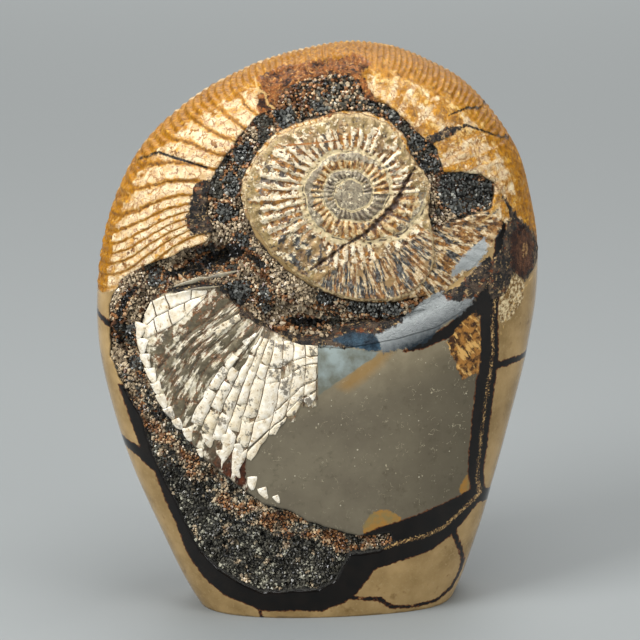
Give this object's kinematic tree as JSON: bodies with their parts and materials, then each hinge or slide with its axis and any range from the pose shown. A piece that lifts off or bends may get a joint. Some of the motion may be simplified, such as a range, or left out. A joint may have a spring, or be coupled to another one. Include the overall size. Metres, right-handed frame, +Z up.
{
  "type": "ammonite in septarian nodule",
  "caption": "Polished free-standing stone: a ribbed ammonite coil in a cracked septarian nodule, with a crystal-lined open crack and a flat cut base.",
  "frame": {"origin": "middle of the stone's plan, at the level of its flat cut base", "axes": "+Z up, the long way; the polished front with the ammonite's coil faces -Y; +X to the right of someone who looks at the front; Y is the stone's thickness"},
  "size_m": [0.1374, 0.0706, 0.1781],
  "materials": {
    "stone": "polished limestone, calcite and fossil shell",
    "druse": "small dark calcite crystals, rough with glints"
  },
  "bodies": {
    "root": {"nodule": "stone", "crystal_crust": "druse"}
  },
  "joints": []
}
